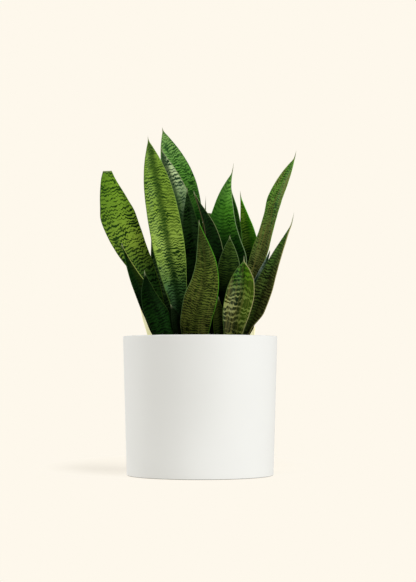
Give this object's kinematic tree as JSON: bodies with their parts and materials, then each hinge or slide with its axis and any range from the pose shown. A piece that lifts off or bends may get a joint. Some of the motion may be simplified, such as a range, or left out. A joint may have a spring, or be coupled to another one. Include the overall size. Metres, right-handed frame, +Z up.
{
  "type": "potted snake plant",
  "caption": "Clump of upright, pointed snake plant leaves growing in potting soil in a plain white straight-sided cylinder planter.",
  "frame": {"origin": "centre of the planter's flat underside, on the surface it stands on", "axes": "+Z up along the planter's axis, -Y towards the front of the clump, +X to the right seen from the front"},
  "size_m": [0.2606, 0.205, 0.4719],
  "materials": {
    "planter_white": "smooth matte white",
    "potting_soil": "crumbly dark potting mix of bark, peat and coir",
    "leaf_bright": "waxy, bright green with dark cross bands",
    "leaf_mid": "waxy, mid green with dark cross bands",
    "leaf_olive": "waxy, olive green with fine dark cross bands",
    "leaf_dark": "waxy, near-black green with faint bands",
    "sheath_pale": "dry pale yellow-green sheath"
  },
  "bodies": {
    "root": {"planter": "planter_white", "potting_soil": "potting_soil", "leaf_far_left": "leaf_bright", "leaf_tall_centre": "leaf_bright", "leaf_tall_back": "leaf_mid", "leaf_tall_inner": "leaf_mid", "leaf_tall_right": "leaf_mid", "leaf_broad_centre": "leaf_mid", "leaf_behind_broad": "leaf_dark", "leaf_back_right": "leaf_olive", "leaf_dark_leaning": "leaf_dark", "leaf_dark_upright": "leaf_dark", "leaf_cut_top": "leaf_dark", "leaf_thread_tip": "leaf_dark", "leaf_dry_tip": "leaf_dark", "leaf_low_left": "leaf_dark", "leaf_front_left": "leaf_dark", "leaf_front_centre": "leaf_olive", "leaf_mid_right": "leaf_olive", "leaf_front_right": "leaf_olive", "leaf_low_right": "leaf_olive", "leaf_slim_right": "leaf_dark", "leaf_young_front": "leaf_olive", "leaf_young_left": "leaf_dark", "leaf_rear_left": "leaf_mid", "leaf_rear_centre": "leaf_bright", "leaf_rear_right": "leaf_mid", "leaf_rear_low": "leaf_olive", "leaf_rear_far_right": "leaf_dark", "leaf_rear_far_left": "leaf_dark", "sheath_left": "sheath_pale", "sheath_right": "sheath_pale"}
  },
  "joints": []
}
